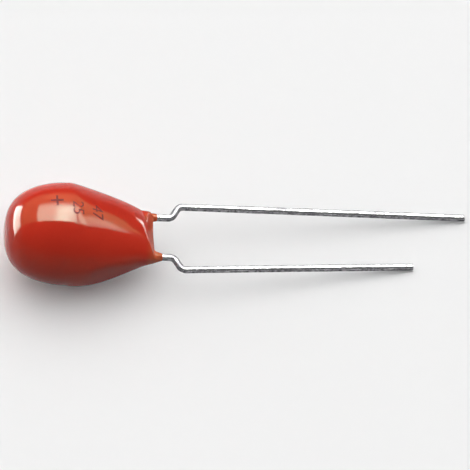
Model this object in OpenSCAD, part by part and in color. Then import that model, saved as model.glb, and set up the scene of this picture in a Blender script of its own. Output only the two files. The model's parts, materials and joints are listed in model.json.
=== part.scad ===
// Dipped tantalum capacitor, lying at rest on its belly and on the tips of its two leads.
// A sintered anode in its cathode layers is welded to one crimped wire and soldered to
// another, and the whole is dipped in resin, which sets as a drop with a neck round the
// wires. Every piece is drawn about the axis of the drop, with the centre of the belly at
// the origin, the leads along +X and both of them in the plane Z = 0. The last step tips
// the whole down until it rests.

/* [Resin drop] */
// Diameter of the drop at its belly
bead_d = 7.3; // [7:0.1:9]
// Distance from the belly to the round end
nose_l = 4.3; // [4.1:0.05:5.5]
// Distance from the belly to the shoulder, where the drop steps down to the web
shoulder_l = 5.95; // [5.75:0.05:7.5]
// Length of the thin web of resin that runs on between the leads, past the shoulder
web_l = 0.45; // [0.45:0.05:0.9]
// Thickness of the web between the leads
web_t = 0.56; // [0.4:0.02:0.8]
// Thickness of the neck, across the plane of the leads
neck_t = 1.8; // [1.3:0.1:2.2]
// Thickness of the resin beside each wire at the neck
neck_cover = 0.2; // [0.15:0.05:0.4]
// How far the shoulder lies back at the positive lead, and forward at the negative one
shoulder_skew = 0.4; // [0:0.05:0.4]
// How far the tail bows sideways, towards the negative lead
tail_bow = 0.2; // [0:0.05:0.3]
// How far the resin climbs each lead past the web
climb_l = 0.3; // [0.2:0.05:0.6]
// Thickness of the climbing resin where it leaves the neck
climb_foot = 0.21; // [0.15:0.01:0.3]
// Thickness of the climbing resin where it ends on the wire
climb_rim = 0.04; // [0.02:0.01:0.08]

/* [Leads] */
// Diameter of the lead wire
wire_d = 0.5; // [0.4:0.02:0.6]
// Distance between the lead centres past the crimps
lead_pitch = 5.08; // [4.9:0.02:5.4]
// Distance between the lead centres where they leave the resin
root_pitch = 3.2; // [3:0.05:3.4]
// Straight length of the positive lead past its crimp
positive_l = 20.4; // [14:0.2:28]
// Straight length of the negative lead past its crimp
negative_l = 16.4; // [12:0.2:26]
// Straight length of each lead between the web and its crimp
crimp_gap = 1.05; // [0.8:0.05:3]
// Angle of the crimps
crimp_angle = 60; // [40:1:70]
// Bend radius of the wire's centre line
bend_r = 0.5; // [0.4:0.05:0.6]
// Angle by which the negative lead leans inwards past its crimp
toe_in = 3.2; // [0:0.1:4]

/* [Anode and its layers] */
// Diameter of the sintered anode
anode_d = 4.4; // [3.8:0.1:4.6]
// Length of the sintered anode
anode_l = 4.8; // [4:0.1:5]
// Distance from the belly to the top face of the anode
anode_top = 1.9; // [1.7:0.05:2]
// Corner radius of the anode
anode_corner = 0.3; // [0.2:0.05:0.5]
// Thickness of the manganese dioxide over the anode
dioxide_t = 0.08; // [0.05:0.01:0.1]
// Thickness of the graphite
graphite_t = 0.05; // [0.04:0.01:0.08]
// Thickness of the silver
silver_t = 0.06; // [0.04:0.01:0.08]
// Distance from the top face of the anode down to the edge of the graphite
graphite_edge = 0.4; // [0.4:0.05:0.6]
// Distance from the edge of the graphite down to the edge of the silver
silver_edge = 0.15; // [0.1:0.05:0.3]

/* [Riser wire and washer] */
// Diameter of the tantalum riser wire
riser_d = 0.4; // [0.3:0.02:0.5]
// Length of the riser wire above the anode
riser_l = 1.9; // [1.7:0.05:2]
// Depth of the riser wire inside the anode
riser_depth = 1.5; // [1:0.1:2.5]
// Diameter of the insulating washer
washer_d = 1.5; // [1.2:0.1:2]
// Thickness of the insulating washer
washer_t = 0.25; // [0.15:0.05:0.4]

/* [Joints inside] */
// Length over which the riser wire and the positive lead are welded side by side
weld_l = 0.9; // [0.6:0.1:1.1]
// Depth by which the lead is pressed into the riser wire at the weld
weld_sink = 0.08; // [0.04:0.01:0.12]
// Length of the negative lead beside the anode, down from its top face
solder_lap = 2.9; // [2:0.1:3.4]
// Thickness of the solder between the lead and the silver
solder_gap = 0.04; // [0.02:0.01:0.08]
// Thickness of the solder round the lead
solder_t = 0.17; // [0.1:0.01:0.2]
// Width of the solder where it meets the silver
solder_w = 1.5; // [1.1:0.1:2]
// Distance that the solder keeps from the edge of the silver
solder_edge = 0.1; // [0.05:0.05:0.3]
// Angle of the bends inside the resin that bring the leads to the anode
inner_angle = 50; // [45:1:60]

/* [Hidden] */
$fn = 64;

bead_r = bead_d / 2;
wire_r = wire_d / 2;
riser_r = riser_d / 2;
root_y = root_pitch / 2;
web_x = shoulder_l + web_l;
neck_half_w = root_y + wire_r + neck_cover;
neck_half_t = neck_t / 2;

// The outline of the nose is bead_r * (1 - (x / nose_l)^2)^nose_power. The tail is a
// Bezier curve that leaves the belly with the same curvature. Its control points stand at
// shares of the tail's length, and the last three have a share of the height above the neck.
nose_power = 0.35;
tail_at = [0, 0.1, 0.15, 0.53, 0.83, 1];
tail_w = [0.9, 0, 0];
tail_t = [0.56, 0.26, 0];
belly_curve = 2 * nose_power * bead_r / pow(nose_l, 2);
tail_drop = belly_curve * pow(tail_at[1] * shoulder_l, 2) * 5 / 4;

// The neck is squarer than an ellipse, and its skew grows with a power of the distance.
neck_power = 2.4;
skew_growth = 6;
web_dip = 0.08;

// Rings of the drop's surface, and corners in each ring.
corners = 48;
nose_rings = 12;
tail_rings = 14;
web_rings = 5;
tail_end = nose_rings + tail_rings;
last_ring = tail_end + web_rings;

function mix(a, b, t) = a + (b - a) * t;
function ease(t) = t * t * (3 - 2 * t);
function clamp(v, low, high) = max(low, min(high, v));
function unit(v) = v / norm(v);
function bezier(c, t) =
    len(c) == 1 ? c[0] : bezier([for (i = [0:len(c) - 2]) mix(c[i], c[i + 1], t)], t);

// The control points of the tail, each [distance from the belly, half width, half thickness].
tail_controls = concat(
    [for (i = [0, 1]) [tail_at[i] * shoulder_l, bead_r, bead_r]],
    [[tail_at[2] * shoulder_l, bead_r - tail_drop, bead_r - tail_drop]],
    [for (i = [0:2]) [
        tail_at[i + 3] * shoulder_l,
        mix(neck_half_w, bead_r, tail_w[i]),
        mix(neck_half_t, bead_r, tail_t[i])
    ]]
);

// A rounded section, as [y, z] at a turn about the axis. A power of 2 gives an ellipse.
function section(half_w, half_t, power, turn) = [
    half_w * sign(cos(turn)) * pow(abs(cos(turn)), 2 / power),
    half_t * sign(sin(turn)) * pow(abs(sin(turn)), 2 / power)
];
// Which lead a place lies at, from 1 at the positive one to -1 at the negative one.
function side(y) = clamp(y / root_y, -1, 1);

function nose_point(along, turn) =
    let (r = bead_r * pow(sin(90 * along), 2 * nose_power))
    [-nose_l * cos(90 * along), r * cos(turn), r * sin(turn)];
function tail_point(along, turn) =
    let (
        c = bezier(tail_controls, along),
        s = section(c[1], c[2], mix(2, neck_power, along), turn)
    )
    [
        c[0] - shoulder_skew * side(s[0]) * pow(along, skew_growth),
        s[0] - tail_bow * pow(sin(180 * along), 2),
        s[1]
    ];
function web_point(along, turn) =
    let (
        half_w = mix(neck_half_w, root_y + wire_r / 2, along),
        half_t = mix(neck_half_t, web_t / 2, ease(along)),
        s = section(half_w, half_t, neck_power, turn),
        from = shoulder_l - shoulder_skew * side(s[0]),
        to = web_x - web_dip * (1 - pow(side(s[0]), 2))
    )
    [mix(from, to, along), s[0], s[1]];
function skin_point(ring, turn) =
    ring <= nose_rings ? nose_point(ring / nose_rings, turn)
    : ring <= tail_end ? tail_point((ring - nose_rings) / tail_rings, turn)
    : web_point((ring - tail_end) / web_rings, turn);

skin_points = concat(
    [[-nose_l, 0, 0]],
    [for (ring = [1:last_ring], i = [0:corners - 1]) skin_point(ring, 360 * i / corners)]
);
function at(ring, corner) = 1 + (ring - 1) * corners + corner % corners;

module drop_skin() {
    half = corners / 2;
    nose_cap = [for (i = [0:corners - 1]) [0, at(1, i), at(1, i + 1)]];
    walls = [
        for (ring = [1:last_ring - 1], i = [0:corners - 1]) each [
            [at(ring, i), at(ring + 1, i), at(ring, i + 1)],
            [at(ring, i + 1), at(ring + 1, i), at(ring + 1, i + 1)]
        ]
    ];
    // The end of the web is closed in strips between its upper edge and its lower one.
    web_end = [
        for (i = [0:half - 1]) each [
            if (i > 0) [at(last_ring, i), at(last_ring, -i + corners), at(last_ring, corners - i - 1)],
            if (i < half - 1) [at(last_ring, i), at(last_ring, corners - i - 1), at(last_ring, i + 1)]
        ]
    ];
    polyhedron(skin_points, concat(nose_cap, walls, web_end));
}

module along_axis() {
    rotate([0, 90, 0]) children();
}

// The resin that climbs a wire: a cone with a hollow side, from inside the neck to its rim.
climb_root = 0.6;
climb_steps = 7;
module climb(y) {
    from = web_x - climb_root;
    to = web_x + climb_l;
    outline = [
        for (i = [0:climb_steps])
            let (t = i / climb_steps)
            [wire_r + mix(climb_rim, climb_foot, pow(1 - t, 2)), mix(from, to, t)]
    ];
    translate([0, y, 0])
        along_axis()
            rotate_extrude()
                polygon(concat([[0, from]], outline, [[0, to]]));
}

// A wire is drawn along its steps, each [straight length, turn to the left in degrees].
module wire(steps, i = 0) {
    run = steps[i][0];
    turn = steps[i][1];
    way = sign(turn);
    along_axis() cylinder(r = wire_r, h = run);
    if (way != 0)
        translate([run, way * bend_r, 0]) {
            rotate([0, 0, way > 0 ? -90 : 90 + turn])
                rotate_extrude(angle = abs(turn))
                    translate([bend_r, 0]) circle(r = wire_r);
            rotate([0, 0, turn])
                translate([0, -way * bend_r, 0]) wire(steps, i + 1);
        }
}

// A jog steps the wire sideways by two bends of one angle, with a straight run between.
function jog_run(sideways, angle) = (sideways - 2 * bend_r * (1 - cos(angle))) / sin(angle);
function jog_length(sideways, angle) =
    2 * bend_r * sin(angle) + jog_run(sideways, angle) * cos(angle);
function jog(before, sideways, angle) =
    [[before, angle], [jog_run(abs(sideways), abs(angle)), -angle]];

crimp_out = (lead_pitch - root_pitch) / 2;

// The positive lead lies against the riser wire, over the end of it.
weld_y = riser_r + wire_r - weld_sink;
riser_end = anode_top + riser_l;
weld_start = [riser_end - weld_l, weld_y];
positive_root = riser_end + jog_length(root_y - weld_y, inner_angle);
crimp_x = web_x + crimp_gap;
crimp_end = crimp_x + jog_length(crimp_out, crimp_angle);
positive_inside = jog(weld_l, root_y - weld_y, inner_angle);
positive_straight = crimp_x - positive_root;
positive_steps = concat(
    positive_inside, jog(positive_straight, crimp_out, crimp_angle), [[positive_l, 0]]
);
positive_tip = [crimp_end + positive_l, lead_pitch / 2, 0];

// The negative lead lies along the side of the silver, with a little solder between.
anode_r = anode_d / 2;
silver_r = anode_r + dioxide_t + graphite_t + silver_t;
graphite_x = anode_top - graphite_edge;
silver_x = graphite_x - silver_edge;
solder_y = silver_r + solder_gap + wire_r;
shoulder_clear = 0.05;
solder_start = [anode_top - solder_lap, -solder_y];
solder_run = solder_lap + dioxide_t + shoulder_clear;
negative_root = anode_top + dioxide_t + shoulder_clear + jog_length(solder_y - root_y, inner_angle);
negative_inside = jog(solder_run, solder_y - root_y, inner_angle);
negative_straight = crimp_x - negative_root;
negative_steps = concat(
    negative_inside,
    [[negative_straight, -crimp_angle], [jog_run(crimp_out, crimp_angle), crimp_angle + toe_in]],
    [[negative_l, 0]]
);
toe_way = [cos(toe_in), sin(toe_in), 0];
toe_start = [
    crimp_end + bend_r * sin(toe_in),
    -lead_pitch / 2 + bend_r * (1 - cos(toe_in)),
    0
];
negative_tip = toe_start + negative_l * toe_way;

// At rest, three places touch the table: one on the belly and the rim of each lead's tip.
// Each pass takes the lowest places for one direction of down, and then the direction
// that is square to the plane through them.
function lowest_on_skin(down) =
    let (depths = [for (p = skin_points) p * down], most = max(depths))
    [for (i = [0:len(depths) - 1]) if (depths[i] == most) skin_points[i]][0];
function lowest_on_tip(tip, way, down) = tip + wire_r * unit(down - (down * way) * way);
function table_through(a, b, c) =
    let (n = unit(cross(b - a, c - a)))
    n[2] > 0 ? -n : n;
function settle(down, passes = 8) =
    passes == 0 ? down : settle(
        table_through(
            lowest_on_skin(down),
            lowest_on_tip(positive_tip, [1, 0, 0], down),
            lowest_on_tip(negative_tip, toe_way, down)
        ),
        passes - 1
    );
down = settle(unit([0.1, 0, -1]));
pitch = asin(down[0]);
roll = atan2(-down[1], -down[2]);
rest_z = lowest_on_skin(down) * down;
// Along the table, towards the tips of the leads, as the leaning drop sees it.
forward = [cos(pitch), sin(pitch) * sin(roll), sin(pitch) * cos(roll)];
back_x = min([for (p = skin_points) p * forward]);
front_x = lowest_on_tip(positive_tip, [1, 0, 0], forward) * forward;

module at_rest() {
    translate([-(back_x + front_x) / 2, 0, rest_z])
        rotate([roll, pitch, 0])
            children();
}

// The half profile of a slug with rounded corners, as [radius, distance along the axis].
module slug_profile(skin = 0) {
    r = anode_r + skin;
    low = anode_top - anode_l - skin;
    high = anode_top + skin;
    corner = anode_corner + skin;
    translate([0, low]) square([r - corner, high - low]);
    translate([0, low + corner]) square([r, high - low - 2 * corner]);
    for (x = [low + corner, high - corner])
        translate([r - corner, x]) circle(r = corner);
}

// What lies below a distance along the axis.
module below(x) {
    reach = 2 * (anode_l + anode_r);
    intersection() {
        children();
        translate([0, x - reach]) square([reach, reach]);
    }
}

module dioxide_profile() {
    slug_profile(dioxide_t);
}
module graphite_profile() {
    below(graphite_x) slug_profile(dioxide_t + graphite_t);
}
module silver_profile() {
    below(silver_x) slug_profile(dioxide_t + graphite_t + silver_t);
}
module revolved() {
    along_axis() rotate_extrude() children();
}
module riser_form() {
    translate([anode_top - riser_depth, 0, 0])
        along_axis() cylinder(r = riser_r, h = riser_depth + riser_l);
}
module washer_form() {
    translate([anode_top + dioxide_t, 0, 0])
        along_axis() cylinder(r = washer_d / 2, h = washer_t);
}
module solder_form() {
    from = solder_start[0] - solder_t;
    inside = silver_r - anode_corner;
    translate([from, 0, 0])
        rotate([90, 0, 90])
            linear_extrude(silver_x - solder_edge - from) {
                translate([-solder_y, 0]) circle(r = wire_r + solder_t);
                polygon([
                    [-solder_y, wire_r], [-solder_y, -wire_r],
                    [-inside, -solder_w / 2], [-inside, solder_w / 2]
                ]);
            }
}

module positive_wire(steps) {
    translate(weld_start) wire(steps);
}
module negative_wire(steps) {
    translate(solder_start) wire(steps);
}

module resin_coating() {
    color("#c8462c") at_rest() difference() {
        union() {
            drop_skin();
            climb(root_y);
            climb(-root_y);
        }
        positive_wire(concat(positive_inside, [[positive_straight, 0]]));
        negative_wire(concat(negative_inside, [[negative_straight, 0]]));
        revolved() {
            dioxide_profile();
            graphite_profile();
            silver_profile();
        }
        riser_form();
        washer_form();
        solder_form();
    }
}

module positive_lead() {
    color("#b9b9b6") at_rest() positive_wire(positive_steps);
}

module negative_lead() {
    color("#b0b0ad") at_rest() negative_wire(negative_steps);
}

module anode_pellet() {
    color("#5d6066") at_rest() difference() {
        revolved() slug_profile();
        riser_form();
    }
}

module riser_wire() {
    color("#8b8d92") at_rest() difference() {
        riser_form();
        translate(weld_start) along_axis() cylinder(r = wire_r, h = 2 * weld_l);
    }
}

module insulating_washer() {
    color("#f2f2ee") at_rest() difference() {
        washer_form();
        riser_form();
    }
}

module manganese_dioxide_layer() {
    color("#2b2522") at_rest() difference() {
        revolved() difference() {
            dioxide_profile();
            slug_profile();
        }
        riser_form();
    }
}

module graphite_layer() {
    color("#1b1c1e") at_rest() revolved() difference() {
        graphite_profile();
        dioxide_profile();
    }
}

module silver_layer() {
    color("#cfd0cf") at_rest() revolved() difference() {
        silver_profile();
        graphite_profile();
        dioxide_profile();
    }
}

module solder_joint() {
    color("#9fa3a6") at_rest() difference() {
        solder_form();
        revolved() silver_profile();
        negative_wire([[solder_run, 0]]);
    }
}

resin_coating();
positive_lead();
negative_lead();
anode_pellet();
riser_wire();
insulating_washer();
manganese_dioxide_layer();
graphite_layer();
silver_layer();
solder_joint();
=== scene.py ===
"""A dipped tantalum capacitor: a drop of resin on two crimped wires, at rest on a table."""

import json
from math import cos, pi, radians, sin, tan

import bpy
import numpy as np
from mathutils import Matrix, Vector


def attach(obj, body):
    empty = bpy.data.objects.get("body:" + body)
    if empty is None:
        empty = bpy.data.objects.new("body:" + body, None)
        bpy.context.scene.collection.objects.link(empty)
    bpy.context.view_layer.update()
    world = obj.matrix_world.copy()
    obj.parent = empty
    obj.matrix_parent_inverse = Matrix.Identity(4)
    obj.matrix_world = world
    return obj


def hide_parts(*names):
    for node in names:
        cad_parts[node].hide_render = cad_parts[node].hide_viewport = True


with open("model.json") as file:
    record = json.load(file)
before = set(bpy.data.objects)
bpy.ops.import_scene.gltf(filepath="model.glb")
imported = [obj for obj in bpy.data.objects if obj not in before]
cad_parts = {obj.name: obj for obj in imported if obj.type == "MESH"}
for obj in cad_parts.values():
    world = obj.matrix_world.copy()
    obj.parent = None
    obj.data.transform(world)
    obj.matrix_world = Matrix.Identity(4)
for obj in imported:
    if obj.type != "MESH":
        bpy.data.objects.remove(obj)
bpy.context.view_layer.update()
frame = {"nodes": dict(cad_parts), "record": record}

scene = bpy.context.scene


# The anode: tantalum powder, pressed into a slug and sintered until the grains just join.
# It is dull and blue-grey, and its skin shows the grains and the pores between them.
# What stands on the drop's axis is measured in millimetres from the belly of the drop.
class Term:
    """A number inside a node tree, so that a formula is written as in plain Python."""

    def __init__(self, tree, socket):
        self.tree = tree
        self.socket = socket

    def math(self, operation, *others, first=None):
        made = self.tree.nodes.new("ShaderNodeMath")
        made.operation = operation
        values = (self, *others) if first is None else (first, self)
        for socket, value in zip(made.inputs, values):
            feed(self.tree, socket, value)
        return Term(self.tree, made.outputs[0])

    def __add__(self, other):
        return self.math("ADD", other)

    def __sub__(self, other):
        return self.math("SUBTRACT", other)

    def __mul__(self, other):
        return self.math("MULTIPLY", other)

    def __truediv__(self, other):
        return self.math("DIVIDE", other)

    def __pow__(self, other):
        return self.math("POWER", other)

    def __rsub__(self, other):
        return self.math("SUBTRACT", first=other)

    def __rtruediv__(self, other):
        return self.math("DIVIDE", first=other)

    __radd__ = __add__
    __rmul__ = __mul__

    def between(self, low, high):
        return self.math("MAXIMUM", low).math("MINIMUM", high)

    def stepped(self, low, high):
        """A soft step: 0 where this is low, 1 where it is high."""
        t = ((self - low) / (high - low)).between(0, 1)
        return t * t * (3 - t * 2)


def feed(tree, socket, value):
    if isinstance(value, Term):
        tree.links.new(value.socket, socket)
    elif isinstance(value, bpy.types.NodeSocket):
        tree.links.new(value, socket)
    else:
        socket.default_value = value


def node(tree, kind, settings=None, **sockets):
    """A new node. A socket is named by its label with _ for a space, or by its number."""
    made = tree.nodes.new(kind)
    for name, value in (settings or {}).items():
        setattr(made, name, value)
    for name, value in sockets.items():
        label = name.replace("_", " ").strip()
        feed(tree, made.inputs[int(label) if label.isdigit() else label], value)
    return made


def finish_named(name, **shader):
    """A material with a Principled shader whose plain values are set on its own sockets."""
    material = bpy.data.materials.new(name)
    material.use_nodes = True
    tree = material.node_tree
    surface = tree.nodes["Principled BSDF"]
    for label, value in shader.items():
        surface.inputs[label.replace("_", " ")].default_value = value
    return material, tree, surface


def pattern(tree, kind, scale, detail=2.0, vector=None):
    """A noise or a cell pattern as a Term, on the drop's own millimetres or a given vector."""
    made = node(tree, kind, Vector=vector or on_the_drop(tree), Scale=scale)
    if "Detail" in made.inputs:
        made.inputs["Detail"].default_value = detail
    return Term(tree, made.outputs["Distance" if kind == "ShaderNodeTexVoronoi" else 0])


def tinted(tree, amount, low, high):
    """A colour that goes from one to another with an amount from 0 to 1."""
    made = node(tree, "ShaderNodeMix", {"data_type": "RGBA"})
    feed(tree, made.inputs[0], amount)
    for socket, colour in zip(made.inputs[6:8], (low, high)):
        feed(tree, socket, (*colour, 1) if isinstance(colour, tuple) else colour)
    return made.outputs[2]


def roughened(tree, surface, height, distance, strength=1.0):
    made = node(tree, "ShaderNodeBump", Height=height, Distance=distance, Strength=strength)
    tree.links.new(made.outputs[0], surface.inputs["Normal"])


# Where the part lies: the two pins of the record give the direction of the leads and their
# plane, and the belly stands behind the positive pin by the sizes of the lead.
MM = 0.001
BEAD_R = 3.65
NOSE_L = 4.3
SHOULDER_L = 5.95
WEB_L = 0.45
WIRE_R = 0.25
LEAD_PITCH = 5.08
ROOT_PITCH = 3.2
CRIMP_GAP = 1.05
CRIMP_ANGLE = radians(60)
BEND_R = 0.5
POSITIVE_L = 20.4
NEGATIVE_L = 16.4
TOE_IN = radians(3.2)

web_x = SHOULDER_L + WEB_L
root_y = ROOT_PITCH / 2
crimp_x = web_x + CRIMP_GAP
crimp_out = (LEAD_PITCH - ROOT_PITCH) / 2
crimp_run = (crimp_out - 2 * BEND_R * (1 - cos(CRIMP_ANGLE))) / sin(CRIMP_ANGLE)
crimp_end = crimp_x + 2 * BEND_R * sin(CRIMP_ANGLE) + crimp_run * cos(CRIMP_ANGLE)

pins = {m["name"]: m for m in frame["record"]["mounts"]}
positive_pin = Vector(pins["positive_lead_pin"]["pos_m"])
negative_pin = Vector(pins["negative_lead_pin"]["pos_m"])
along = Vector(pins["positive_lead_pin"]["axis"]).normalized()
across = along.cross(positive_pin - negative_pin).normalized()
sideways = across.cross(along)
belly = positive_pin - MM * (
    (crimp_end + POSITIVE_L / 2) * along + LEAD_PITCH / 2 * sideways
)
turned = Matrix((along, sideways, across)).transposed()
at_rest = Matrix.Translation(belly) @ (turned * MM).to_4x4()
onto_drop = at_rest.inverted()


def on_the_drop(tree):
    """Object coordinates, turned to the drop's own axis and counted in millimetres."""
    seen = node(tree, "ShaderNodeTexCoord")
    mapped = node(
        tree,
        "ShaderNodeMapping",
        Vector=seen.outputs["Object"],
        Location=onto_drop.translation,
        Rotation=turned.transposed().to_euler(),
        Scale=(1 / MM,) * 3,
    )
    return mapped.outputs[0]


sintered, tree, surface = finish_named("sintered_tantalum", Metallic=0.85, Roughness=0.72)
grains = pattern(tree, "ShaderNodeTexVoronoi", 14.0)
pores = pattern(tree, "ShaderNodeTexNoise", 9.0, 4.0)
tree.links.new(
    tinted(tree, grains * pores * 2, (0.07, 0.072, 0.078), (0.27, 0.28, 0.3)),
    surface.inputs["Base Color"],
)
roughened(tree, surface, (grains + pores * 0.5).socket, 0.03 * MM, 0.8)


def dress(name, material):
    """Gives a CAD node its finish."""
    frame["nodes"][name].data.materials.clear()
    frame["nodes"][name].data.materials.append(material)


dress("anode_pellet", sintered)


# The riser wire: drawn tantalum, sintered into the slug and welded to the positive lead.
# It is smooth and blue-grey, with faint lines from the die.
DIE_STRETCH = (0.4, 30.0, 30.0)

drawn, tree, surface = finish_named("drawn_tantalum", Metallic=1.0, Roughness=0.32)
lines = node(tree, "ShaderNodeMapping", Vector=on_the_drop(tree), Scale=DIE_STRETCH)
die_marks = pattern(tree, "ShaderNodeTexNoise", 1.0, 3.0, lines.outputs[0])
tree.links.new(
    tinted(tree, die_marks, (0.19, 0.2, 0.23), (0.34, 0.36, 0.4)), surface.inputs["Base Color"]
)
roughened(tree, surface, die_marks.socket, 0.004 * MM)
dress("riser_wire", drawn)


# The washer: punched from white fluoropolymer sheet and threaded on the riser wire.
# It keeps the electrolyte from climbing the wire.
washer, tree, surface = finish_named("white_washer", Roughness=0.42)
cloud = pattern(tree, "ShaderNodeTexNoise", 3.0)
tree.links.new(
    tinted(tree, cloud, (0.78, 0.78, 0.75), (0.86, 0.86, 0.84)), surface.inputs["Base Color"]
)
roughened(tree, surface, cloud.socket, 0.004 * MM)
dress("insulating_washer", washer)


# The manganese dioxide: baked on from a nitrate solution in many dips, so it is a matt
# brown-black crust.
crust, tree, surface = finish_named("manganese_dioxide", Roughness=0.88)
lumps = pattern(tree, "ShaderNodeTexNoise", 7.0, 6.0)
tree.links.new(
    tinted(tree, lumps, (0.004, 0.003, 0.0025), (0.03, 0.022, 0.017)),
    surface.inputs["Base Color"],
)
roughened(tree, surface, lumps.socket, 0.03 * MM)
dress("manganese_dioxide_layer", crust)


# The graphite and the silver: each a dip in a liquid paint that is then cured. The graphite
# is a satin black, and the silver over it shows its flakes.
graphite, tree, surface = finish_named("graphite", Roughness=0.5)
runs = pattern(tree, "ShaderNodeTexNoise", 4.0, 4.0)
tree.links.new(
    tinted(tree, runs, (0.006, 0.006, 0.007), (0.022, 0.022, 0.024)),
    surface.inputs["Base Color"],
)
roughened(tree, surface, runs.socket, 0.008 * MM)
dress("graphite_layer", graphite)

silver, tree, surface = finish_named("silver_paint", Metallic=0.9, Roughness=0.4)
flakes = pattern(tree, "ShaderNodeTexVoronoi", 30.0)
tree.links.new(
    tinted(tree, flakes, (0.52, 0.52, 0.5), (0.78, 0.78, 0.76)), surface.inputs["Base Color"]
)
roughened(tree, surface, flakes.socket, 0.006 * MM)
dress("silver_layer", silver)


# The leads: tinned wire, bent outwards at a crimp that stops the drop above the board. The
# positive one is welded to the riser wire, the negative one lies along the silver.
RISER_R = 0.2
RISER_END = 3.8
WELD_L = 0.9
WELD_SINK = 0.08
INNER_ANGLE = radians(50)
ANODE_TOP = 1.9
SOLDER_LAP = 2.9
SOLDER_RUN = 3.03
SILVER_R = 2.39
SOLDER_GAP = 0.04
RING_SIDES = 32
RING_STEP = 0.06
FILLET_STEPS = 12
TIN_SWELL = 0.006
SWELL_STRETCH = (1.2, 3, 3)
TIP_EDGE = 0.05
TIP_LOSS = 0.4
WIRE_CREASE = 0.7


def interface(tree, sizes):
    """Gives a tree its output and an input for each size, and returns those as Terms."""
    kinds = {float: "NodeSocketFloat", int: "NodeSocketInt", Vector: "NodeSocketVector"}
    for name, value in sizes.items():
        kind = kinds.get(type(value), "NodeSocketMaterial")
        tree.interface.new_socket(name, in_out="INPUT", socket_type=kind)
    tree.interface.new_socket("Mesh", in_out="OUTPUT", socket_type="NodeSocketGeometry")
    given = tree.nodes.new("NodeGroupInput")
    return {name: Term(tree, given.outputs[name]) for name in sizes}


def ends_with(tree, geometry):
    tree.links.new(geometry, tree.nodes.new("NodeGroupOutput").inputs[0])


def grown(name, tree, sizes, start=None):
    """Runs a tree on a mesh, or on none, and keeps what it makes as a plain mesh at rest."""
    start = start or bpy.data.meshes.new(name + "_seed")
    seed = bpy.data.objects.new(name + "_seed", start)
    scene.collection.objects.link(seed)
    live = seed.modifiers.new("made", "NODES")
    live.node_group = tree
    for socket in tree.interface.items_tree:
        if socket.in_out == "INPUT" and socket.name in sizes:
            live[socket.identifier] = sizes[socket.name]
    bpy.context.view_layer.update()
    seen = seed.evaluated_get(bpy.context.evaluated_depsgraph_get())
    mesh = bpy.data.meshes.new_from_object(seen)
    mesh.name = name
    mesh.transform(at_rest)
    bpy.data.objects.remove(seed)
    piece = bpy.data.objects.new(name, mesh)
    scene.collection.objects.link(piece)
    return piece


def smooth_but_for(tree, geometry, angle):
    """Smooth shading, with every edge sharper than the angle kept crisp."""
    soft = node(tree, "GeometryNodeSetShadeSmooth", Geometry=geometry)
    bend = node(tree, "GeometryNodeInputMeshEdgeAngle")
    crisp = Term(tree, bend.outputs[0]).math("GREATER_THAN", angle)
    hard = node(
        tree,
        "GeometryNodeSetShadeSmooth",
        {"domain": "EDGE"},
        Geometry=soft.outputs[0],
        Selection=crisp,
        Shade_Smooth=False,
    )
    return hard.outputs[0]


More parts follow.
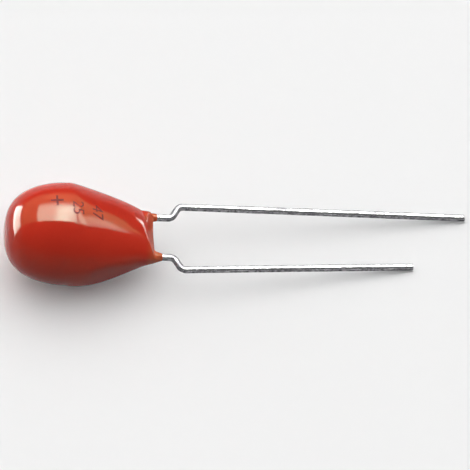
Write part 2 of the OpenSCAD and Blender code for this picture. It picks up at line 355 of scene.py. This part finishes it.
def wire_tree(corners):
    """A round wire along a line of corners, each rounded to one bend radius."""
    tree = bpy.data.node_groups.new("wire_along_corners", "GeometryNodeTree")
    sizes = {f"Corner {i + 1}": Vector(c) for i, c in enumerate(corners)}
    sizes |= {
        "Wire Radius": WIRE_R,
        "Bend Radius": BEND_R,
        "Fillet Steps": FILLET_STEPS,
        "Ring Step": RING_STEP,
        "Ring Sides": RING_SIDES,
        "Tin Swell": TIN_SWELL,
        "Tip Edge": TIP_EDGE,
        "Finish": tinned,
    }
    given = interface(tree, sizes)
    line = node(tree, "GeometryNodeMeshLine", Count=len(corners))
    index = node(tree, "GeometryNodeInputIndex")
    spot = node(tree, "GeometryNodeIndexSwitch", {"data_type": "VECTOR"})
    for _ in range(len(corners) - 2):
        spot.index_switch_items.new()
    feed(tree, spot.inputs[0], index.outputs[0])
    for i in range(len(corners)):
        feed(tree, spot.inputs[i + 1], given[f"Corner {i + 1}"])
    placed = node(
        tree, "GeometryNodeSetPosition", Geometry=line.outputs[0], Position=spot.outputs[0]
    )
    path = node(tree, "GeometryNodeMeshToCurve", Mesh=placed.outputs[0])
    bent = node(
        tree,
        "GeometryNodeFilletCurve",
        {"mode": "POLY"},
        Curve=path.outputs[0],
        Count=given["Fillet Steps"],
        Radius=given["Bend Radius"],
    )
    even = node(
        tree,
        "GeometryNodeResampleCurve",
        {"mode": "LENGTH"},
        Curve=bent.outputs[0],
        Length=given["Ring Step"],
    )
    # The shears leave a small rounded edge at the tip, which the radius follows.
    run = node(tree, "GeometryNodeSplineParameter")
    whole = node(tree, "GeometryNodeSplineLength")
    to_tip = (Term(tree, whole.outputs[0]) - Term(tree, run.outputs["Length"])) / given["Tip Edge"]
    edge = (1 - to_tip.between(0, 1)) ** 2 * given["Tip Edge"] * TIP_LOSS
    ring = node(
        tree,
        "GeometryNodeCurvePrimitiveCircle",
        Resolution=given["Ring Sides"],
        Radius=given["Wire Radius"],
    )
    skin = node(
        tree,
        "GeometryNodeCurveToMesh",
        Curve=even.outputs[0],
        Profile_Curve=ring.outputs[0],
        Scale=(given["Wire Radius"] - edge) / given["Wire Radius"],
        Fill_Caps=True,
    )
    # The tin sets in long, shallow swells.
    where = node(tree, "GeometryNodeInputPosition")
    stretched = node(
        tree,
        "ShaderNodeVectorMath",
        {"operation": "MULTIPLY"},
        _0=where.outputs[0],
        _1=SWELL_STRETCH,
    )
    swell = node(tree, "ShaderNodeTexNoise", Vector=stretched.outputs[0], Scale=1.0, Detail=2.0)
    normal = node(tree, "GeometryNodeInputNormal")
    lift = (Term(tree, swell.outputs[0]) - 0.5) * given["Tin Swell"] * 2
    offset = node(
        tree, "ShaderNodeVectorMath", {"operation": "SCALE"}, _0=normal.outputs[0], Scale=lift
    )
    tinny = node(
        tree, "GeometryNodeSetPosition", Geometry=skin.outputs[0], Offset=offset.outputs[0]
    )
    smooth = smooth_but_for(tree, tinny.outputs[0], WIRE_CREASE)
    whole_wire = node(tree, "GeometryNodeRealizeInstances", Geometry=smooth)
    coated = node(
        tree, "GeometryNodeSetMaterial", Geometry=whole_wire.outputs[0], Material=given["Finish"]
    )
    ends_with(tree, coated.outputs[0])
    return tree, sizes


def axis_of_drop(tree, axis):
    """One of the drop's own coordinates, in millimetres."""
    apart = node(tree, "ShaderNodeSeparateXYZ", Vector=on_the_drop(tree))
    return Term(tree, apart.outputs[axis])


# The tin has dark blotches here and there, and the bends that a tool pressed are duller.
# Its flanks and underside are painted darker, with darker specks. This painted shade
# stands in for the dark surroundings they reflect. The crown keeps the bright tin.
BLOTCH_STRETCH = (0.9, 2.6, 2.6)
# The first step sets where the painted shade on the flanks and underside begins, and the last
# amount sets how much that painted shade dulls the tin.
PAINTED_SHADE_STEP = (0.62, 0.28)
DULL_STEP = (0.46, 0.68)
SPECK_STEP = (0.4, 0.58)
PAINTED_SHADE_DULL = 0.16
PRESSED_DULL = 0.22
PRESS_OUT = 0.1
PRESS_IN = 0.4
BRIGHT_TIN = (0.78, 0.78, 0.78)
DULL_AND_PAINTED_SHADE_TIN = (0.22, 0.21, 0.23)
# The painted shade on the flanks and underside: a dark grey with darker specks.
PAINTED_SHADE_TIN = (0.26, 0.255, 0.27)
PAINTED_SHADE_SPECK = (0.035, 0.035, 0.04)

tinned, tree, surface = finish_named("tinned_wire", Metallic=1.0)
lengthwise = node(tree, "ShaderNodeMapping", Vector=on_the_drop(tree), Scale=BLOTCH_STRETCH)
blotch = pattern(tree, "ShaderNodeTexNoise", 1.6, 5.0, lengthwise.outputs[0])
speck = pattern(tree, "ShaderNodeTexNoise", 4.5, 4.0)
seen = node(tree, "ShaderNodeTexCoord")
facing = node(tree, "ShaderNodeSeparateXYZ", Vector=seen.outputs["Normal"])
# Painted shade: where the normal turns from up towards the side and down, the tin is dulled and
# mixed with the dark specked grey.
under = (Term(tree, facing.outputs["Z"]) + (speck - 0.5) * 0.5).stepped(*PAINTED_SHADE_STEP)
along_wire = axis_of_drop(tree, "X")
pressed = along_wire.stepped(crimp_x - PRESS_OUT, crimp_x + PRESS_IN)
pressed = pressed * along_wire.stepped(crimp_end + PRESS_OUT, crimp_end - PRESS_IN)
dull_and_painted_shade = (blotch + under * PAINTED_SHADE_DULL + pressed * PRESSED_DULL).stepped(*DULL_STEP)
tin_and_painted_shade = tinted(tree, dull_and_painted_shade * speck * 1.5, BRIGHT_TIN, DULL_AND_PAINTED_SHADE_TIN)
painted_shade_colour = tinted(tree, speck.stepped(*SPECK_STEP), PAINTED_SHADE_TIN, PAINTED_SHADE_SPECK)
tree.links.new(tinted(tree, under * 0.85, tin_and_painted_shade, painted_shade_colour), surface.inputs["Base Color"])
feed(tree, surface.inputs["Roughness"], dull_and_painted_shade * 0.15 + under * 0.12 + speck * 0.1 + 0.1)
roughened(tree, surface, (speck + blotch).socket, 0.02 * MM, 0.8)


def jog_corners(start, sideways_by, angle):
    """The two corners of a jog whose first bend starts at a place on a straight run."""
    way = 1 if sideways_by > 0 else -1
    x = start[0] + BEND_R * tan(angle / 2)
    return [(x, start[1], 0), (x + way * sideways_by / tan(angle), start[1] + sideways_by, 0)]


weld_y = RISER_R + WIRE_R - WELD_SINK
positive_corners = [
    (RISER_END - WELD_L, weld_y, 0),
    *jog_corners((RISER_END, weld_y), root_y - weld_y, INNER_ANGLE),
    *jog_corners((crimp_x, root_y), crimp_out, CRIMP_ANGLE),
    (crimp_end + POSITIVE_L, LEAD_PITCH / 2, 0),
]
# The shorter lead turns by more at its last bend, so it leans inwards past the crimp.
solder_y = SILVER_R + SOLDER_GAP + WIRE_R
toe_turn = CRIMP_ANGLE + TOE_IN
toe_start = (crimp_end + BEND_R * sin(TOE_IN), -LEAD_PITCH / 2 + BEND_R * (1 - cos(TOE_IN)))
toe_tip = (toe_start[0] + NEGATIVE_L * cos(TOE_IN), toe_start[1] + NEGATIVE_L * sin(TOE_IN), 0)
crimp_corner = jog_corners((crimp_x, -root_y), -crimp_out, CRIMP_ANGLE)[0]
toe_back = BEND_R * tan(toe_turn / 2)
toe_corner = (toe_start[0] - toe_back * cos(TOE_IN), toe_start[1] - toe_back * sin(TOE_IN), 0)
negative_corners = [
    (ANODE_TOP - SOLDER_LAP, -solder_y, 0),
    *jog_corners((ANODE_TOP - SOLDER_LAP + SOLDER_RUN, -solder_y), solder_y - root_y, INNER_ANGLE),
    crimp_corner,
    toe_corner,
    toe_tip,
]
for name, corners in (("positive", positive_corners), ("negative", negative_corners)):
    tree, sizes = wire_tree(corners)
    lead = grown(name + "_tinned_wire", tree, sizes)
    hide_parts(name + "_lead")
    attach(lead, "root")


# The solder: a bead of it holds the negative lead to the silver. It set bright, with a
# few frosted patches.
solder, tree, surface = finish_named("solder", Metallic=1.0)
frost = pattern(tree, "ShaderNodeTexNoise", 5.0, 4.0)
tree.links.new(
    tinted(tree, frost, (0.42, 0.43, 0.44), (0.68, 0.69, 0.7)), surface.inputs["Base Color"]
)
feed(tree, surface.inputs["Roughness"], frost * 0.4 + 0.15)
roughened(tree, surface, frost.socket, 0.01 * MM)
dress("solder_joint", solder)


# The drop: the whole is dipped in liquid epoxy, which is drawn into a drop and climbs the
# wires a little before it cures. So its surface is one glossy skin without an edge, but
# for the ridge where it turns down to the thin web between the wires.
NECK_T = 1.8
NECK_COVER = 0.2
SHOULDER_SKEW = 0.4
TAIL_BOW = 0.2
NOSE_POWER = 0.35
NECK_POWER = 2.4
SKEW_GROWTH = 6
# The tail is a Bezier curve. Its controls stand at these shares of the tail's length, and the
# last three at these shares of the way from the neck's width and thickness to the belly's.
TAIL_AT = [0, 0.1, 0.15, 0.53, 0.83, 1]
TAIL_WIDTH = [0.9, 0.1, 0]
TAIL_THICKNESS = [0.56, 0.26, 0]
WEB_T = 0.56
WEB_DIP = 0.08
WEB_CORNER = 0.16
FACE_SLOPE = 1.25
FACE_LEAN = -0.45
RIDGE_ROUND = 0.09
CLIMB_L = 0.4
CLIMB_LEAN = 0.12
CLIMB_ROOT = 0.7
CLIMB_FOOT = 0.12
CLIMB_FOOT_LEAN = 0.06
CLIMB_RIM = 0.01
CLIMB_HOLLOW = 1.1
CLIMB_FILLET = 0.09
FLANK_W = 1.675
FLANK_LEAN = 0.225
FLANK_SLOPE = 0.46
FLANK_SLOPE_LEAN = 0.14
FLANK_ROUND = 0.25
FINENESS = 0.058
MARGIN = 0.2
NEWTON_STEPS = 6
DROP_CREASE = 1.2

neck_half_w = root_y + WIRE_R + NECK_COVER
neck_half_t = NECK_T / 2
# The third control lies lower by what gives the tail the nose's curvature at the belly.
belly_curve = 2 * NOSE_POWER * BEAD_R / NOSE_L**2
degree = len(TAIL_AT) - 1
tail_drop = belly_curve * (TAIL_AT[1] * SHOULDER_L) ** 2 * degree / (degree - 1)


def bezier(controls, t):
    """A point of a Bezier curve of numbers."""
    while len(controls) > 1:
        controls = [a + (b - a) * t for a, b in zip(controls, controls[1:])]
    return controls[0]


def powers_of(controls):
    """The same curve as factors of the powers of its parameter, the highest first."""
    t = np.linspace(0, 1, len(controls))
    return np.polyfit(t, [bezier(controls, v) for v in t], len(controls) - 1).tolist()


def horner(t, factors):
    """The value of those factors at a Term."""
    total = t * factors[0] + factors[1]
    for factor in factors[2:]:
        total = total * t + factor
    return total


def tail_controls(neck, shares):
    """Three values that leave the belly with its own curvature, and three towards the neck."""
    start = [BEAD_R, BEAD_R, BEAD_R - tail_drop]
    return start + [neck + (BEAD_R - neck) * share for share in shares]


def drop_tree():
    tree = bpy.data.node_groups.new("resin_drop_rule", "GeometryNodeTree")
    sizes = {
        "Nose Length": NOSE_L,
        "Shoulder Length": SHOULDER_L,
        "Shoulder Skew": SHOULDER_SKEW,
        "Tail Bow": TAIL_BOW,
        "Web End": web_x,
        "Web Half Thickness": WEB_T / 2,
        "Face Slope": FACE_SLOPE,
        "Face Lean": FACE_LEAN,
        "Ridge Round": RIDGE_ROUND,
        "Lead Distance": root_y,
        "Wire Radius": WIRE_R,
        "Climb Length": CLIMB_L,
        "Climb Foot": CLIMB_FOOT,
        "Climb Rim": CLIMB_RIM,
        "Fineness": FINENESS,
        "Finish": resin,
    }
    given = interface(tree, sizes)
    place_now = node(tree, "GeometryNodeInputPosition")
    apart = node(tree, "ShaderNodeSeparateXYZ", Vector=place_now.outputs[0])
    x, y, z = (Term(tree, socket) for socket in apart.outputs)
    side = (y / given["Lead Distance"]).between(-1, 1)
    skew = given["Shoulder Skew"] * side

    # How far along the tail a place is, from 0 at the belly to 1 at the shoulder. Newton's
    # method finds it, because the skew depends on it too.
    place = powers_of(TAIL_AT)
    slope = np.polyder(place).tolist()
    share = x / given["Shoulder Length"]
    lean = skew / given["Shoulder Length"]
    t = share.between(0, 1)
    for _ in range(NEWTON_STEPS):
        miss = horner(t, place) - lean * t**SKEW_GROWTH - share
        rate = horner(t, slope) - lean * t ** (SKEW_GROWTH - 1) * SKEW_GROWTH
        t = (t - miss / rate).between(0, 1)
    half_w = horner(t, powers_of(tail_controls(neck_half_w, TAIL_WIDTH)))
    half_t = horner(t, powers_of(tail_controls(neck_half_t, TAIL_THICKNESS)))
    power = t * (NECK_POWER - 2) + 2

    # The cross-section goes from a circle at the belly to a squarer oval at the neck. The
    # small sums keep a division of zero by zero off the drop's axis.
    bowed = y + given["Tail Bow"] * (t * pi).math("SINE") ** 2
    tall = z.math("ABSOLUTE")
    reach = (bowed * bowed + z * z).math("SQRT") + 1e-4
    filled = (
        (bowed.math("ABSOLUTE") / half_w) ** power + (tall / half_t) ** power
    ) ** (1 / power) + 1e-5
    nose = (x / given["Nose Length"]).between(-2, 0)
    depth = (filled ** (1 / NOSE_POWER) + nose * nose - 1) * -NOSE_POWER * reach / filled

    # The skin ends in the web between the wires, and a sloping face leads down to it.
    web_end = given["Web End"] - (1 - side * side) * WEB_DIP
    skin = depth.math("SMOOTH_MIN", web_end - x, WEB_CORNER)
    steep = given["Face Slope"] + given["Face Lean"] * side
    face = given["Web Half Thickness"] + steep * (web_end - x) - tall
    face = face / (steep * steep + 1).math("SQRT")
    skin = skin.math("SMOOTH_MIN", face, given["Ridge Round"])

    # The sides of the web slope in towards the tips of the climbs.
    tip = given["Web End"] + given["Climb Length"]
    flank = (FLANK_SLOPE + FLANK_SLOPE_LEAN * side) * (tip - x) - y.math("ABSOLUTE")
    flank = flank + FLANK_W - FLANK_LEAN * side
    skin = skin.math("SMOOTH_MIN", flank, FLANK_ROUND)

    # The resin climbs each wire as a cone with a hollow side, and thins out to nothing.
    for way in (1, -1):
        height = given["Climb Length"] - CLIMB_LEAN * way
        up = ((x - given["Web End"]) / height).between(0, 1)
        foot = given["Climb Foot"] - CLIMB_FOOT_LEAN * way
        climb_r = (1 - up) ** CLIMB_HOLLOW * (foot - given["Climb Rim"])
        off = y - given["Lead Distance"] * way
        climb = climb_r + given["Climb Rim"] + given["Wire Radius"]
        climb = climb - (off * off + z * z).math("SQRT")
        climb = climb.math("MINIMUM", given["Web End"] + height - x)
        climb = climb.math("MINIMUM", x - given["Web End"] + CLIMB_ROOT)
        skin = skin.math("SMOOTH_MAX", climb, CLIMB_FILLET)

    low = (-NOSE_L - MARGIN, -BEAD_R - MARGIN, -BEAD_R - MARGIN)
    high = (web_x + CLIMB_L + MARGIN, BEAD_R + MARGIN, BEAD_R + MARGIN)
    counts = {
        "Resolution_" + axis: (b - a) / given["Fineness"] for axis, a, b in zip("XYZ", low, high)
    }
    cloud = node(
        tree,
        "GeometryNodeVolumeCube",
        Density=skin,
        Background=-1.0,
        Min=low,
        Max=high,
        **counts,
    )
    shell = node(tree, "GeometryNodeVolumeToMesh", Volume=cloud.outputs[0], Threshold=0.0)
    smooth = smooth_but_for(tree, shell.outputs[0], DROP_CREASE)
    whole = node(tree, "GeometryNodeRealizeInstances", Geometry=smooth)
    glossy = node(
        tree, "GeometryNodeSetMaterial", Geometry=whole.outputs[0], Material=given["Finish"]
    )
    ends_with(tree, glossy.outputs[0])
    return tree, sizes


# The resin is paler and more orange towards the neck, over the thin web and round the wires.
THIN_STEP = (5.5, 6.5)
PALE_RED = (0.65, 0.041, 0.018)
DEEP_RED = (0.54, 0.025, 0.013)
THIN_ORANGE = (0.6, 0.105, 0.04)

resin, tree, surface = finish_named(
    "dipped_resin", Roughness=0.07, IOR=1.25, Specular_Tint=(0.55, 1, 0.8, 1)
)
streaks = pattern(tree, "ShaderNodeTexNoise", 0.35, 3.0)
dust = pattern(tree, "ShaderNodeTexNoise", 6.0, 3.0)
thick_resin = tinted(tree, streaks * 0.7 + dust * 0.3, DEEP_RED, PALE_RED)
thin = axis_of_drop(tree, "X").stepped(*THIN_STEP)
tree.links.new(tinted(tree, thin, thick_resin, THIN_ORANGE), surface.inputs["Base Color"])
waves = pattern(tree, "ShaderNodeTexNoise", 1.1, 1.0)
roughened(tree, surface, (waves + dust * 0.03).socket, 0.01 * MM, 0.6)

tree, sizes = drop_tree()
drop = grown("resin_drop", tree, sizes)
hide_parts("resin_coating")
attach(drop, "root")


# The print: figures and a plus sign, stamped on the drop in dark ink that dries matt. The
# plus marks the side of the positive lead.
# Each line has its text, its place along and across the drop, and its size.
LINES = [("47", 1.95, 0.72, 1.15), ("25", 0.5, 0.72, 1.15), ("+", -1.0, 1.3, 1.9)]
HALF_A_FIGURE = 0.36
INK_LIFT = 0.012
INK_SINK = 0.02
INK_CUTS = 2
RAY_FROM = 10.0
RAY_L = 20.0


def print_tree(lines):
    """Text laid flat over the drop, pressed down on it and given a little thickness."""
    tree = bpy.data.node_groups.new("printed_lines", "GeometryNodeTree")
    tree.interface.new_socket("Surface", in_out="INPUT", socket_type="NodeSocketGeometry")
    sizes = {"Ink Lift": INK_LIFT, "Ink Sink": INK_SINK, "Cuts": INK_CUTS, "Finish": ink}
    given = interface(tree, sizes)
    group_in = next(n for n in tree.nodes if n.bl_idname == "NodeGroupInput")
    laid = node(tree, "GeometryNodeJoinGeometry")
    for text, start_x, start_y, size in lines:
        words = node(tree, "GeometryNodeStringToCurves", String=text, Size=size)
        real = node(tree, "GeometryNodeRealizeInstances", Geometry=words.outputs[0])
        turned_down = node(
            tree,
            "GeometryNodeTransform",
            Geometry=real.outputs[0],
            Translation=(start_x - size * HALF_A_FIGURE, start_y, 0),
            Rotation=(0, 0, -pi / 2),
        )
        tree.links.new(turned_down.outputs[0], laid.inputs[0])
    flat = node(tree, "GeometryNodeFillCurve", {"mode": "TRIANGLES"}, Curve=laid.outputs[0])
    fine = node(tree, "GeometryNodeSubdivideMesh", Mesh=flat.outputs[0], Level=given["Cuts"])
    thick = node(
        tree,
        "GeometryNodeExtrudeMesh",
        {"mode": "FACES"},
        Mesh=fine.outputs[0],
        Offset=(0, 0, 1),
        Offset_Scale=1.0,
        Individual=False,
    )
    under = node(tree, "GeometryNodeFlipFaces", Mesh=fine.outputs[0])
    closed = node(tree, "GeometryNodeJoinGeometry")
    for part in (under, thick):
        tree.links.new(part.outputs[0], closed.inputs[0])
    merged = node(tree, "GeometryNodeMergeByDistance", Geometry=closed.outputs[0], Distance=1e-4)

    # A ray from above every point of the flat print finds its place on the skin.
    now = node(tree, "GeometryNodeInputPosition")
    apart = node(tree, "ShaderNodeSeparateXYZ", Vector=now.outputs[0])
    high = node(tree, "ShaderNodeCombineXYZ", X=apart.outputs[0], Y=apart.outputs[1], Z=RAY_FROM)
    found = node(
        tree,
        "GeometryNodeRaycast",
        Target_Geometry=group_in.outputs["Surface"],
        Source_Position=high.outputs[0],
        Ray_Direction=(0, 0, -1),
        Ray_Length=RAY_L,
    )
    on_top = Term(tree, apart.outputs[2]).math("GREATER_THAN", 0.5)
    lift = on_top * (given["Ink Lift"] + given["Ink Sink"]) - given["Ink Sink"]
    out_by = node(
        tree,
        "ShaderNodeVectorMath",
        {"operation": "SCALE"},
        _0=found.outputs["Hit Normal"],
        Scale=lift,
    )
    spot = node(
        tree,
        "ShaderNodeVectorMath",
        {"operation": "ADD"},
        _0=found.outputs["Hit Position"],
        _1=out_by.outputs[0],
    )
    pressed = node(
        tree, "GeometryNodeSetPosition", Geometry=merged.outputs[0], Position=spot.outputs[0]
    )
    whole = node(tree, "GeometryNodeRealizeInstances", Geometry=pressed.outputs[0])
    inked = node(
        tree, "GeometryNodeSetMaterial", Geometry=whole.outputs[0], Material=given["Finish"]
    )
    ends_with(tree, inked.outputs[0])
    return tree, sizes


ink, tree, surface = finish_named("print_ink", Roughness=0.5, IOR=1.15)
worn = pattern(tree, "ShaderNodeTexNoise", 5.0, 4.0)
tree.links.new(
    tinted(tree, worn, (0.13, 0.01, 0.01), (0.22, 0.02, 0.018)), surface.inputs["Base Color"]
)
roughened(tree, surface, worn.socket, 0.004 * MM)

skin_in_mm = drop.data.copy()
skin_in_mm.transform(onto_drop)
tree, sizes = print_tree(LINES)
figures = grown("printed_figures", tree, sizes, skin_in_mm)
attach(figures, "root")


# The studio: a white table with a low white wall round it, and a camera far off that looks
# down on the table. A soft box overhead makes the highlight, and its wings draw it out towards
# the neck. A ceiling behind it warms the top, and cards at the sides light nose and ridge.
CAMERA_AZIMUTH = radians(6.0)
CAMERA_ELEVATION = radians(53.694)
CAMERA_ROLL = radians(2.628)
IMAGE_SIDE = 470
PIXELS_PER_MM = 14.11
ORIGIN_PIXEL = (235.77, 257.69)
CAMERA_AWAY = 0.6
AIM_DEPTH = 3.0
SENSOR = 36.0

front = Vector((-sin(CAMERA_AZIMUTH), -cos(CAMERA_AZIMUTH), 0))
right = Vector((cos(CAMERA_AZIMUTH), -sin(CAMERA_AZIMUTH), 0))
back = front * cos(CAMERA_ELEVATION) + Vector((0, 0, sin(CAMERA_ELEVATION)))
up = back.cross(right)
image_right = right * cos(CAMERA_ROLL) + up * sin(CAMERA_ROLL)
image_up = up * cos(CAMERA_ROLL) - right * sin(CAMERA_ROLL)
middle = IMAGE_SIDE / 2
aim = MM * (
    image_right * (middle - ORIGIN_PIXEL[0]) / PIXELS_PER_MM
    + image_up * (ORIGIN_PIXEL[1] - middle) / PIXELS_PER_MM
    + back * AIM_DEPTH
)
camera = bpy.data.objects.new("camera", bpy.data.cameras.new("camera"))
camera.data.sensor_width = SENSOR
camera.data.lens = PIXELS_PER_MM * CAMERA_AWAY / MM * SENSOR / IMAGE_SIDE
camera.data.clip_start = 0.01
camera.data.clip_end = 10
camera.matrix_world = (
    Matrix.Translation(aim + back * CAMERA_AWAY)
    @ Matrix((image_right, image_up, back)).transposed().to_4x4()
)
scene.collection.objects.link(camera)
scene.camera = camera
scene.view_settings.view_transform = "Standard"

TABLE_HALF = 3.0
WALL_AWAY = 1.4
WALL_HIGH = 0.12
WALL_SIDES = 48
TABLE_WHITE = 0.86
TABLE_BOUNCE = 0.12
TABLE_GLOW = 0.1
WALL_WHITE = 0.8
WALL_GLOW = 0.5
PAPER_GRAIN = 900.0
PAPER_CONTRAST = 0.01
ROOM_GREY = 0.16


def stage_piece(name, corners, faces, material):
    mesh = bpy.data.meshes.new(name)
    mesh.from_pydata(corners, [], faces)
    mesh.materials.append(material)
    piece = bpy.data.objects.new(name, mesh)
    scene.collection.objects.link(piece)
    return piece


def paper(name, white, bounce, glow):
    """Matt paper with a faint grain. What isn't looked at bounces less light."""
    made = bpy.data.materials.new(name)
    made.use_nodes = True
    tree = made.node_tree
    tree.nodes.clear()
    path = node(tree, "ShaderNodeLightPath")
    looked_at = Term(tree, path.outputs["Is Camera Ray"])
    for way in ("Is Glossy Ray", "Is Transmission Ray"):
        looked_at = looked_at.math("MAXIMUM", Term(tree, path.outputs[way]))
    place = node(tree, "ShaderNodeTexCoord")
    grain = pattern(tree, "ShaderNodeTexNoise", PAPER_GRAIN, 2.0, place.outputs["Object"])
    pale = tinted(tree, grain, (white,) * 3, (white + PAPER_CONTRAST,) * 3)
    shade = tinted(tree, looked_at, (bounce,) * 3, pale)
    matt = node(tree, "ShaderNodeBsdfDiffuse", Color=shade)
    lit = node(tree, "ShaderNodeEmission", Color=(1, 1, 1, 1), Strength=1.0)
    mixed = node(
        tree, "ShaderNodeMixShader", _0=looked_at * glow, _1=matt.outputs[0], _2=lit.outputs[0]
    )
    node(tree, "ShaderNodeOutputMaterial", Surface=mixed.outputs[0])
    return made


h = TABLE_HALF
stage_piece(
    "table",
    [(-h, -h, 0), (h, -h, 0), (h, h, 0), (-h, h, 0)],
    [(0, 1, 2, 3)],
    paper("white_paper", TABLE_WHITE, TABLE_BOUNCE, TABLE_GLOW),
)
ring = [
    WALL_AWAY * (right * cos(2 * pi * i / WALL_SIDES) - front * sin(2 * pi * i / WALL_SIDES))
    for i in range(WALL_SIDES + 1)
]
wall_corners = [p + Vector((0, 0, z)) for z in (0, WALL_HIGH) for p in ring]
wall_faces = [(i + 1, i, i + WALL_SIDES + 1, i + WALL_SIDES + 2) for i in range(WALL_SIDES)]
pale_paper = paper("pale_paper", WALL_WHITE, WALL_WHITE, WALL_GLOW)
stage_piece("low_wall", wall_corners, wall_faces, pale_paper)


def seen_in(name, pieces):
    """The pieces that a lamp's image shows in."""
    group = bpy.data.collections.new(name)
    for piece in pieces:
        group.objects.link(piece)
    return group


def faded(made, edges):
    """Fades a lamp towards its edges, given as shares of its left, right, far and near side."""
    made.use_nodes = True
    tree = made.node_tree
    shape = node(tree, "ShaderNodeNewGeometry")
    spot = node(tree, "ShaderNodeSeparateXYZ", Vector=shape.outputs["Parametric"])
    u, v = Term(tree, spot.outputs[0]), Term(tree, spot.outputs[1])
    left, right_edge, far, near = (max(edge, 0.01) for edge in edges)
    bright = (1 - u).stepped(0, left) * u.stepped(0, right_edge)
    bright = bright * (1 - v).stepped(0, far) * v.stepped(0, near)
    feed(tree, tree.nodes["Emission"].inputs["Strength"], bright)


def lamp(
    name, place, out, size, light=0.0, image=0.0, gleam=0.0, turn=0.0, edges=None, colour=(1, 1, 1)
):
    """A flat lamp at [right, front, up] that shines the way out, turned about that way.

    What it gives to matt surfaces, to its image in the resin and to the wires is set apart.
    """
    place, out = ((r, -f, u) for r, f, u in (place, out))
    faced = (-Vector(out)).to_track_quat("Z", "Y").to_matrix() @ Matrix.Rotation(turn, 3, "Z")
    set_up = Matrix.Translation(in_room @ Vector(place)) @ (in_room @ faced).to_4x4()
    parts = (("light", light, None), ("image", image, resin_group), ("gleam", gleam, None))
    for part, radiance, group in parts:
        if not radiance:
            continue
        made = bpy.data.objects.new(f"{name}_{part}", bpy.data.lights.new(name, "AREA"))
        made.data.shape = "RECTANGLE"
        made.data.size, made.data.size_y = size
        made.data.energy = radiance * pi * size[0] * size[1]
        made.visible_camera = False
        made.visible_diffuse = part == "light"
        made.visible_glossy = part != "light"
        made.data.cycles.use_multiple_importance_sampling = part != "light"
        made.light_linking.receiver_collection = group
        if part == "image":
            made.data.color = colour
            if edges:
                faded(made.data, edges)
        made.matrix_world = set_up
        scene.collection.objects.link(made)


in_room = Matrix((right, -front, (0, 0, 1))).transposed()
resin_group = seen_in("resin_and_print", [drop, figures])

DOWN = (0, 0, -1)
TO_THE_RIGHT = (1, 0, 0)
TO_THE_NECK = (-0.8, 0.6, 0)
WARM = (1, 0.95, 0.5)
NEAR_TURN = radians(25)
FAR_TURN = radians(42)

lamp(
    "ceiling", (-0.95, -1.75, 1.05), DOWN, (3.0, 3.8),
    light=0.6, image=3.2, gleam=0.6, edges=(0.3, 0, 0.65, 0), colour=WARM,
)
lamp(
    "ceiling_wing", (0.89, -1.92, 1.06), DOWN, (2.6, 3.0),
    light=0.4, image=4.4, gleam=0.6, turn=FAR_TURN, edges=(0, 0, 0.7, 0), colour=WARM,
)
lamp("overhead", (0.1, -0.3, 1.02), DOWN, (1.8, 1.8), light=1.15)
lamp(
    "softbox", (-0.06, -0.42, 1.0), DOWN, (1.12, 1.15),
    image=24.0, gleam=1.5, edges=(0.06, 0.1, 0.5, 0.04),
)
lamp(
    "softbox_middle", (0.1, -0.32, 0.99), DOWN, (0.5, 0.92),
    image=26.0, gleam=1.5, edges=(0.4, 0.4, 0.5, 0.05),
)
lamp(
    "near_wing", (0.585, -0.4, 0.98), DOWN, (1.12, 0.95),
    image=17.5, gleam=1.5, turn=NEAR_TURN, edges=(0.18, 0.6, 0.3, 0.05),
)
lamp(
    "far_wing", (1.46, -0.66, 0.97), DOWN, (1.9, 0.5),
    image=10.0, gleam=1.2, turn=FAR_TURN, edges=(0.2, 0.3, 0.5, 0.05),
)
lamp("left_panel", (-1.0, -0.3, 0.19), TO_THE_RIGHT, (1.2, 0.36), light=2.0, gleam=1.0)
lamp(
    "left_card", (-0.0425, -0.0105, 0.0085), TO_THE_RIGHT, (0.031, 0.017),
    image=33.0, edges=(0.1, 0.1, 0.1, 0.1),
)
lamp("right_panel", (0.9, -0.79, 0.08), TO_THE_NECK, (0.28, 0.12), image=26.4, gleam=0.5)

world = bpy.data.worlds.new("room")
world.use_nodes = True
background = world.node_tree.nodes["Background"]
background.inputs["Color"].default_value = (1, 1, 1, 1)
background.inputs["Strength"].default_value = ROOM_GREY
scene.world = world
